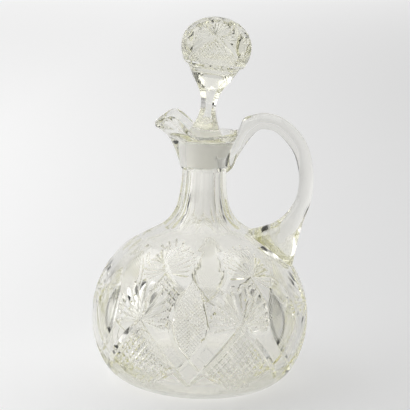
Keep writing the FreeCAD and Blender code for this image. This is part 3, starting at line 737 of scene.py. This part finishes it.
def cut_body(jug):
    """The body's wheel-cut ornament: three ovals in front and behind, with stars between."""
    ovals = [math.radians(middle + step * MOTIF_STEP) for middle in (0, 180) for step in (-1, 0, 1)]
    ordered = sorted(turn % (2 * math.pi) for turn in ovals)
    following = ordered[1:] + [ordered[0] + 2 * math.pi]
    stars = [(left + right) / 2 for left, right in zip(ordered, following)]
    for slant in (LENS_SLANT, -LENS_SLANT):
        for odd in (0, 1):
            tools = []
            for turn in ovals:
                tools += hatch(turn, LENS_MIDDLE, inside_lens, slant, LENS_PITCH,
                               LENS_HATCH_DEPTH, odd)
            combine(jug, [make_object("lens_hatch", *tools)])
    for slant in (FIELD_SLANT, -FIELD_SLANT):
        for pitch, depth in ((FIELD_FINE_PITCH, FIELD_FINE_DEPTH), (FIELD_PITCH, FIELD_DEPTH)):
            for odd in (0, 1):
                tools = []
                for turn in stars:
                    tools += hatch(turn, STAR_HEIGHT, inside_field, slant, pitch, depth, odd)
                combine(jug, [make_object("field_hatch", *tools)])
    for side in (-1, 1):
        combine(jug, [make_object("borders", *[lens_borders(turn, side) for turn in ovals])])
        combine(jug, [make_object("mitres", *[star_mitre(turn, side) for turn in stars])])
    for first in range(RAY_SETS):
        numbers = range(first, STAR_RAYS, RAY_SETS)
        tools = [star_ray(turn, number) for turn in stars for number in numbers]
        combine(jug, [make_object("rays", *tools)])


# ---------------------------------------------------------------- the stopper

def oval_points(middle, across, up, first, last, count):
    """Points of an upright ellipse between two angles from the horizontal, without the last."""
    return [(across * math.cos(turn), middle + up * math.sin(turn))
            for turn in np.linspace(first, last, count, endpoint=False)]


def stopper_rings():
    """The rings of the upright stopper: plug, collar, stem and knob."""
    edge = (PLUG_BOTTOM_RADIUS, PLUG_FOOT + PLUG_CHAMFER)
    line = [(AXIS_RADIUS, PLUG_FOOT), (PLUG_BOTTOM_RADIUS - PLUG_CHAMFER, PLUG_FOOT), edge]
    line += [tuple(point) for point in np.linspace(edge, (PLUG_TOP_RADIUS, PLUG_TOP), 8)[1:]]
    run, rise = PLUG_TOP_RADIUS - STEM_RADIUS, STEM_HEIGHT - PLUG_TOP
    arc = (run ** 2 + rise ** 2) / (2 * run)
    sweep = math.asin(rise / arc)
    for turn in np.linspace(sweep, 0, 20)[1:]:
        line.append((STEM_RADIUS + arc * (1 - math.cos(turn)), STEM_HEIGHT - arc * math.sin(turn)))
    for turn in np.linspace(0, FLARE_ANGLE, 12):
        line.append((STEM_RADIUS + FLARE_ARC * (1 - math.cos(turn)),
                     STEM_HEIGHT + FLARE_RISE + FLARE_ARC * math.sin(turn)))
    line += [tuple(point) for point in np.linspace(line[-1], (BELT_RADIUS, BELT_HEIGHT), 8)[1:]]
    below = KNOB_MIDDLE - (BELT_HEIGHT + BELT_STEP / 2)
    lower = below / math.sqrt(1 - ((BELT_RADIUS + BELT_STEP) / KNOB_RADIUS) ** 2)
    line += oval_points(KNOB_MIDDLE, KNOB_RADIUS, lower, -math.asin(below / lower), 0, 12)
    line += oval_points(KNOB_MIDDLE, KNOB_RADIUS, STOPPER_TOP - KNOB_MIDDLE, 0, math.pi / 2, 26)
    line.append((AXIS_RADIUS, STOPPER_TOP))
    return [around(TURNS, radius, height) for radius, height in line]


def stem_tool(number):
    """The tool of one flat panel of the stem: a slice of a large wheel."""
    depth = STEM_RADIUS * (1 - math.cos(math.pi / STEM_SIDES)) + STEM_CUT
    turn = 2 * math.pi * (number + 0.5) / STEM_SIDES
    out = around(turn, 1.0, 0.0)
    side = around(turn + math.pi / 2, 1.0, 0.0)
    centre = out * (STEM_RADIUS - depth + STEM_WHEEL) + np.array((0, 0, STEM_HEIGHT))
    rim = np.linspace(0, 2 * math.pi, 120, endpoint=False)
    wheel = np.outer(np.cos(rim), out) + np.outer(np.sin(rim), (0, 0, 1))
    ends = (-STEM_WHEEL / 2, STEM_WHEEL / 2)
    return closed_mesh([centre + STEM_WHEEL * wheel + side * off for off in ends])


def on_knob(direction):
    """Points of the knob in directions from its middle, and the way out of the glass there."""
    below = KNOB_MIDDLE - BELT_HEIGHT + KNOB_UNDER
    half = np.where(direction[:, 2] > 0, STOPPER_TOP - KNOB_MIDDLE, below)
    wide = np.full(len(half), KNOB_RADIUS)
    stretch = np.stack([wide, wide, half], axis=1)
    points = direction / np.linalg.norm(direction / stretch, axis=1)[:, None]
    out = points / stretch ** 2
    return points + np.array((0, 0, KNOB_MIDDLE)), out / np.linalg.norm(out, axis=1)[:, None]


def knob_groove(angle, across, up, depth):
    """The tool of a V groove on the knob, along a path in degrees from a star's middle."""
    rise = math.asin(KNOB_STAR_RISE / KNOB_RADIUS)
    centre = around(angle, math.cos(rise), math.sin(rise))
    right = around(angle + math.pi / 2, 1.0, 0.0)
    upward = around(angle, -math.sin(rise), math.cos(rise))
    reach = np.hypot(across, up)
    bearing = np.arctan2(up, across)
    turn = np.radians(reach)
    tangent = np.outer(np.cos(bearing), right) + np.outer(np.sin(bearing), upward)
    points, out = on_knob(np.cos(turn)[:, None] * centre + np.sin(turn)[:, None] * tangent)
    return groove(points, out, depth, RAY_LIFT)


def knob_ray(angle, number):
    """One ray of a knob's star."""
    fan = KNOB_RAY_LAST - KNOB_RAY_FIRST
    turn = math.radians(KNOB_RAY_FIRST + fan * number / (KNOB_RAYS - 1))
    along = np.linspace(KNOB_RAY_START, KNOB_RAY_REACH, 14)
    half = KNOB_RADIUS * np.radians(along) * math.tan(math.radians(fan / 2 / (KNOB_RAYS - 1)))
    past = np.maximum(along / KNOB_RAY_REACH - (1 - KNOB_RAY_TAIL), 0) / KNOB_RAY_TAIL
    half *= np.sqrt(np.clip(1 - past ** 2, TIP, 1))
    depth = half / math.tan(WHEEL_ANGLE)
    return knob_groove(angle, along * math.cos(turn), along * math.sin(turn), depth)


def knob_bow(share):
    """How far a knob's long groove has dropped, in degrees, at a share of its reach to the side."""
    return KNOB_MITRE_DROP * ((1 - KNOB_MITRE_BOW) * share + KNOB_MITRE_BOW * share ** 2)


def knob_mitre(angle, side):
    """One of the two long bowed grooves from a knob's star down to its belt."""
    share = np.linspace(0.01, 1, 24)
    swelling = swell(0.08 + 0.9 * share, KNOB_MITRE_SWELL)
    depth = KNOB_MITRE_LEAST_DEPTH + KNOB_MITRE_DEPTH * swelling
    return knob_groove(angle, side * KNOB_MITRE_REACH * share, -knob_bow(share), depth)


def knob_field(angle, slant, odd):
    """Fine parallel grooves under a knob's star, between its long grooves."""
    tools = []
    along = np.arange(-KNOB_FIELD_REACH, KNOB_FIELD_REACH, KNOB_FIELD_STEP)
    for number in range(-KNOB_FIELD_LINES, KNOB_FIELD_LINES + 1):
        if number % 2 != odd:
            continue
        across, up = slanted(along, number * KNOB_PITCH, slant)
        up -= KNOB_FIELD_MIDDLE
        under = up < -knob_bow(np.abs(across) / KNOB_MITRE_REACH) - KNOB_FIELD_MARGIN
        between_mitres = np.abs(across) < KNOB_FIELD_SHARE * KNOB_MITRE_REACH
        kept = np.flatnonzero(under & (up > -KNOB_FIELD_DROP) & between_mitres)
        if len(kept) < 4 or kept[-1] - kept[0] >= len(kept):
            continue
        share = END_SHARE + from_ends(len(kept)) / KNOB_RUN_OUT
        depth = KNOB_FIELD_DEPTH * np.clip(share, 0, 1)
        tools.append(knob_groove(angle, across[kept], up[kept], depth))
    return tools


def cut_knob(stopper):
    """The wheel-cut ornament of the knob: four stars, each over a field of diamonds."""
    motifs = [2 * math.pi * number / KNOB_MOTIFS for number in range(KNOB_MOTIFS)]
    for slant in (math.radians(45), math.radians(-45)):
        for odd in (0, 1):
            tools = []
            for turn in motifs:
                tools += knob_field(turn, slant, odd)
            combine(stopper, [make_object("knob_hatch", *tools)])
    for side in (-1, 1):
        combine(stopper, [make_object("knob_mitres", *[knob_mitre(turn, side) for turn in motifs])])
    for first in range(KNOB_RAY_SETS):
        numbers = range(first, KNOB_RAYS, KNOB_RAY_SETS)
        tools = [knob_ray(turn, number) for turn in motifs for number in numbers]
        combine(stopper, [make_object("knob_rays", *tools)])


def lean(points):
    """Points of the upright stopper moved to where it leans towards the handle."""
    cos, sin = math.cos(LEAN), math.sin(LEAN)
    x, y = points[:, 0], points[:, 1]
    up = points[:, 2] - LEAN_HEIGHT
    return np.stack([x * cos + up * sin, y, LEAN_HEIGHT + up * cos - x * sin], axis=1)


# ---------------------------------------------------------------- materials

class Nodes:
    """Adds nodes to a material or a world and links them in one line each."""

    def __init__(self, owner):
        owner.use_nodes = True
        self.tree = owner.node_tree

    def get(self, name):
        """A node that is there already."""
        return self.tree.nodes[name]

    def add(self, kind, settings=None, **links):
        """A node with its settings; links name its sockets and what feeds each of them."""
        node = self.tree.nodes.new(kind)
        for name, value in (settings or {}).items():
            setattr(node, name, value)
        for name, value in links.items():
            self.feed(node.inputs[name.replace("_", " ")], value)
        return node

    def feed(self, socket, value):
        """Sets a socket to a number, or links another socket to it."""
        if isinstance(value, bpy.types.NodeSocket):
            self.tree.links.new(value, socket)
        else:
            socket.default_value = value

    def math(self, operation, *values):
        """The result of one operation on numbers or sockets."""
        node = self.tree.nodes.new("ShaderNodeMath")
        node.operation = operation
        for socket, value in zip(node.inputs, values):
            self.feed(socket, value)
        return node.outputs[0]

    def ramp(self, value, low, high, first=0.0, last=1.0):
        """Maps a value from low..high to first..last, held at both ends."""
        node = self.tree.nodes.new("ShaderNodeMapRange")
        for name, number in zip(("Value", "From Min", "From Max", "To Min", "To Max"),
                                (value, low, high, first, last)):
            self.feed(node.inputs[name], number)
        return node.outputs[0]

    def noise(self, place, scale, detail):
        """Noise about 0.5 over a place."""
        node = self.add("ShaderNodeTexNoise", Vector=place, Scale=scale, Detail=detail)
        return node.outputs[0]

    def radius(self, parts):
        """The distance of a place from the upright axis."""
        return self.math("SQRT", self.math("ADD", self.math("POWER", parts["X"], 2.0),
                                           self.math("POWER", parts["Y"], 2.0)))


def crystal(name, ground):
    """Clear lead glass with a straw tint where it is thick; ground says where it is ground matt."""
    material = bpy.data.materials.new(name)
    nodes = Nodes(material)
    shader, output = nodes.get("Principled BSDF"), nodes.get("Material Output")
    place = nodes.add("ShaderNodeTexCoord").outputs["Object"]
    shader.inputs["Base Color"].default_value = GLASS_COLOUR
    shader.inputs["IOR"].default_value = GLASS_IOR
    grain = nodes.noise(place, GROUND_GRAIN_SCALE, 2.0)
    matt = ground(nodes, place)
    rough = nodes.ramp(grain, 0.3, 0.7, GROUND_SMOOTHEST, GROUND_ROUGHEST)
    nodes.feed(shader.inputs["Roughness"], nodes.math("MULTIPLY", matt, rough))
    clearness = nodes.ramp(matt, 0.0, 1.0, 1.0, GROUND_CLEARNESS)
    nodes.feed(shader.inputs["Transmission Weight"], clearness)
    flow = nodes.noise(place, GLASS_FLOW_SCALE, 1.0)
    pits = nodes.math("MULTIPLY", grain, nodes.math("MULTIPLY", matt, GROUND_GRAIN_HEIGHT))
    height = nodes.math("ADD", flow, pits)
    bump = nodes.add("ShaderNodeBump", Height=height, Distance=GLASS_WAVE * MM, Strength=1.0)
    nodes.feed(shader.inputs["Normal"], bump.outputs[0])
    tint = nodes.add("ShaderNodeVolumeAbsorption", Color=GLASS_TINT, Density=GLASS_TINT_DENSITY)
    nodes.feed(output.inputs["Volume"], tint.outputs[0])
    clear = nodes.add("ShaderNodeBsdfTransparent", Color=GLASS_SHADOW)
    shadow = nodes.add("ShaderNodeLightPath").outputs["Is Shadow Ray"]
    mix = nodes.add("ShaderNodeMixShader", Fac=shadow)
    nodes.feed(mix.inputs[1], shader.outputs[0])
    nodes.feed(mix.inputs[2], clear.outputs[0])
    nodes.feed(output.inputs["Surface"], mix.outputs[0])
    return material


def ground_seat(nodes, place):
    """1 on the ground seat inside the jug's neck."""
    parts = nodes.add("ShaderNodeSeparateXYZ", Vector=place).outputs
    limit = (PLUG_TOP_RADIUS + SEAT_SHELL) * MM
    inner = nodes.ramp(nodes.radius(parts), limit - SEAT_SHELL_FADE * MM, limit, 1.0, 0.0)
    foot = nodes.ramp(parts["Z"], PLUG_FOOT * MM, (PLUG_FOOT + 1) * MM)
    low, high = (PLUG_TOP - GROUND_DROP) * MM, (PLUG_TOP - SEAT_FADE) * MM
    top = nodes.ramp(parts["Z"], low, high, 1.0, 0.0)
    return nodes.math("MULTIPLY", inner, nodes.math("MULTIPLY", foot, top))


def ground_plug(nodes, place):
    """1 on the stopper's ground plug, below its collar."""
    along = nodes.add("ShaderNodeVectorMath", {"operation": "DOT_PRODUCT"})
    nodes.feed(along.inputs[0], place)
    nodes.feed(along.inputs[1], (math.sin(LEAN), 0, math.cos(LEAN)))
    top = (LEAN_HEIGHT * math.cos(LEAN) - (LEAN_HEIGHT - PLUG_TOP)) * MM
    low, high = top - GROUND_DROP * MM, top - PLUG_FADE * MM
    return nodes.ramp(along.outputs["Value"], low, high, 1.0, 0.0)


# ---------------------------------------------------------------- the two pieces of glass

def finish_glass(piece, node, material):
    """Shades a piece of glass and puts it in the frame in place of its CAD node."""
    mesh = piece.data
    mesh.materials.clear()
    mesh.materials.append(material)
    mesh.shade_smooth()
    mesh.set_sharp_from_angle(angle=SHARP_ANGLE)
    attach(piece, "root")
    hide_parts(node)


def make_jug():
    """The jug: turned, panelled, cut, and with its handle joined on last."""
    jug = jug_blank()
    for turn in range(3):
        combine(jug, [make_object("flutes", *[flute_tool(turn + 3 * step) for step in range(3)])])
    cut_body(jug)
    combine(jug, [handle_form()], "UNION")
    return jug


def make_stopper():
    """The stopper: turned and cut upright, then leaned into its seat."""
    stopper = make_object("stopper_glass", closed_mesh(stopper_rings()))
    combine(stopper, [make_object("panel", stem_tool(number)) for number in range(STEM_SIDES)])
    cut_knob(stopper)
    mesh = stopper.data
    points = np.array([vertex.co for vertex in mesh.vertices]) / MM
    mesh.vertices.foreach_set("co", (lean(points) * MM).ravel())
    mesh.update()
    return stopper


finish_glass(make_jug(), "jug", crystal("jug_crystal", ground_seat))
finish_glass(make_stopper(), "stopper", crystal("stopper_crystal", ground_plug))


# ---------------------------------------------------------------- floor, light and camera

def paper_glow(nodes, parts):
    """Painted light that the paper glows with, for rays from the camera, reflections and rays
    through glass alone.
    """
    rays = nodes.add("ShaderNodeLightPath").outputs
    through = nodes.math("MAXIMUM", rays["Is Transmission Ray"], rays["Is Glossy Ray"])
    radius = nodes.radius(parts)
    ahead = nodes.math("MULTIPLY", through, parts["Y"])
    reach = nodes.math("MAXIMUM", ahead, nodes.math("MULTIPLY", rays["Is Camera Ray"], radius))
    # painted light: the paper glows brighter the farther it lies from the object
    far = nodes.ramp(reach, PAPER_NEAR, PAPER_FAR, 0.0, PAPER_GLOW)
    # a painted pool of light on the paper round the foot, seen only through the glass and in
    # reflections
    under = nodes.ramp(radius, PAPER_LIGHT_POOL_FROM, PAPER_LIGHT_POOL_TO, PAPER_LIGHT_POOL, 0.0)
    under = nodes.math("MULTIPLY", through, under)
    # painted light: seen from the camera, the paper glows brighter to the left, on the window
    # lamp's side
    painted_left_glow = nodes.ramp(parts["X"], -PAPER_SPAN, PAPER_SPAN, PAPER_SEEN_LEFT, PAPER_SEEN_RIGHT)
    painted_left_glow = nodes.math("MULTIPLY", rays["Is Camera Ray"], painted_left_glow)
    return nodes.math("ADD", far, nodes.math("ADD", under, painted_left_glow))


def paper():
    """Matt white paper with painted shade that darkens it to the right, and a painted glow that
    makes it seen brighter far from the object.
    """
    material = bpy.data.materials.new("white_paper")
    nodes = Nodes(material)
    shader = nodes.get("Principled BSDF")
    place = nodes.add("ShaderNodeTexCoord").outputs["Object"]
    parts = nodes.add("ShaderNodeSeparateXYZ", Vector=place).outputs
    fibre = nodes.noise(place, PAPER_FIBRE_SCALE, 4.0)
    # painted shade: the paper's colour is made darker to the right, as if less lamp light fell
    # there
    fibre_and_painted_shade = nodes.ramp(parts["X"], -PAPER_SPAN, PAPER_SPAN, PAPER_LIT_LEFT, PAPER_SHADED_RIGHT)
    fibre_and_painted_shade = nodes.math("MULTIPLY", fibre_and_painted_shade, nodes.ramp(fibre, 0.3, 0.7, 0.99, 1.0))
    nodes.feed(shader.inputs["Base Color"], fibre_and_painted_shade)
    shader.inputs["Roughness"].default_value = 0.9
    bump = nodes.add("ShaderNodeBump", Height=fibre, Distance=PAPER_FIBRE_HEIGHT, Strength=0.3)
    nodes.feed(shader.inputs["Normal"], bump.outputs[0])
    glow = paper_glow(nodes, parts)
    shader.inputs["Emission Color"].default_value = (1, 1, 1, 1)
    nodes.feed(shader.inputs["Emission Strength"], glow)
    return material


def make_floor():
    """A wide flat floor that reaches past the edges of the camera's picture."""
    line = np.linspace(-FLOOR_HALF, FLOOR_HALF, 9)
    points = [(x, y, 0.0) for y in line for x in line]
    count = len(line)
    faces = [(row + i, row + i + 1, row + i + 1 + count, row + i + count)
             for row in range(0, count * (count - 1), count) for i in range(count - 1)]
    mesh = bpy.data.meshes.new("floor")
    mesh.from_pydata(points, [], faces)
    floor = bpy.data.objects.new("floor", mesh)
    bpy.context.scene.collection.objects.link(floor)
    floor.data.materials.append(paper())


def area_light(name, place, target, size, power):
    """A large soft lamp that points at a target; size is its width and height."""
    lamp = bpy.data.lights.new(name, "AREA")
    lamp.shape = "RECTANGLE"
    lamp.size, lamp.size_y = size
    lamp.energy = power
    light = bpy.data.objects.new(name, lamp)
    light.location = place
    light.rotation_euler = (Vector(target) - Vector(place)).to_track_quat("-Z", "Y").to_euler()
    bpy.context.scene.collection.objects.link(light)
    return light


def make_camera():
    """The camera in front, a little above and to the right, rolled slightly."""
    azimuth = math.radians(5)
    elevation = math.radians(13)
    roll = math.radians(2.1)
    distance = 1130 * MM
    target_height = 126.7 * MM
    target_right = 0.93 * MM
    level = math.cos(elevation)
    back = Vector((math.sin(azimuth) * level, -math.cos(azimuth) * level, math.sin(elevation)))
    right = Vector((math.cos(azimuth), math.sin(azimuth), 0))
    target = Vector((0, 0, target_height)) + right * target_right
    data = bpy.data.cameras.new("camera")
    data.lens = 140.5
    data.sensor_width = 36
    camera = bpy.data.objects.new("camera", data)
    turn = back.to_track_quat("Z", "Y").to_matrix().to_4x4()
    place = Matrix.Translation(target + back * distance)
    camera.matrix_world = place @ turn @ Matrix.Rotation(roll, 4, "Z")
    bpy.context.scene.collection.objects.link(camera)
    bpy.context.scene.camera = camera


def make_world():
    """A pale room behind the object that darkens towards the camera's side."""
    world = bpy.data.worlds.new("studio")
    nodes = Nodes(world)
    way = nodes.add("ShaderNodeTexCoord").outputs["Generated"]
    parts = nodes.add("ShaderNodeSeparateXYZ", Vector=way).outputs
    room = nodes.ramp(parts["Y"], ROOM_FRONT, ROOM_BACK, ROOM_DARK, ROOM_PALE)
    sideways = nodes.math("ABSOLUTE", parts["X"])
    sides = nodes.ramp(sideways, ROOM_SIDE - ROOM_SIDE_BLUR, ROOM_SIDE, 1.0, 0.0)
    room = nodes.math("MULTIPLY", room, sides)
    seen = nodes.add("ShaderNodeLightPath").outputs["Is Camera Ray"]
    lift = nodes.math("MULTIPLY", seen, nodes.math("SUBTRACT", ROOM_SEEN, room))
    nodes.feed(nodes.get("Background").inputs["Color"], nodes.math("ADD", room, lift))
    bpy.context.scene.world = world


make_floor()
make_world()
area_light("window", place=(-1.5, -0.2, 1.1), target=LIGHT_TARGET, size=(2.2, 2.0), power=20)
top_light = area_light("top_light", place=(0.0, -0.2, 1.8), target=LIGHT_TARGET, size=(2.0, 2.0),
                       power=16.5)
top_light.data.use_shadow = False
make_camera()

bpy.context.scene.view_settings.view_transform = "Standard"
# rays cross many faces inside cut glass, and a low limit would end them as black
for bounces in ("max_bounces", "glossy_bounces", "transmission_bounces", "transparent_max_bounces"):
    setattr(bpy.context.scene.cycles, bounces, RAY_LIMIT)
